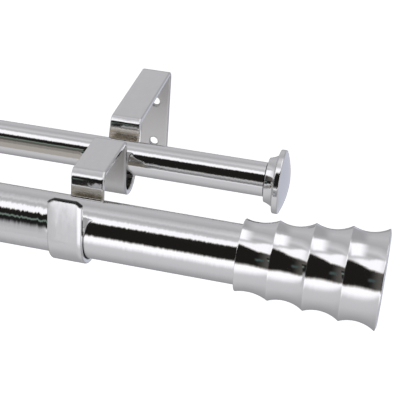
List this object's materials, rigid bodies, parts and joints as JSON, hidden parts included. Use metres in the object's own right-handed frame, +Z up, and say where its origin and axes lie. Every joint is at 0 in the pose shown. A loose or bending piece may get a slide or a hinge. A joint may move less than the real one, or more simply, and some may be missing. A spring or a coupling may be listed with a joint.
{
  "type": "double curtain pole",
  "caption": "Polished double curtain pole: a thick front tube with ribbed flared finials and a thin rear tube with domed caps, carried by folded strip wall brackets.",
  "frame": {"origin": "on the wall plane, at the middle of the four screw holes of the two brackets", "axes": "+X runs along the poles, +Y points into the wall, +Z is up"},
  "size_m": [1.2182, 0.1439, 0.0528],
  "materials": {
    "front_pole": "polished nickel plate on steel tube",
    "rear_pole": "polished nickel plate on steel tube",
    "bracket": "polished nickel plate on folded steel strip",
    "finial": "polished nickel plate on turned metal",
    "cap": "polished nickel plate on turned metal",
    "plug": "moulded dark plastic"
  },
  "bodies": {
    "root": {"front_pole": "front_pole", "rear_pole": "rear_pole", "bracket_left": "bracket", "bracket_right": "bracket", "front_finial_left": "finial", "front_finial_right": "finial", "rear_cap_left": "cap", "rear_cap_right": "cap", "front_plug_left": "plug", "front_plug_right": "plug", "rear_plug_left": "plug", "rear_plug_right": "plug"}
  },
  "joints": []
}
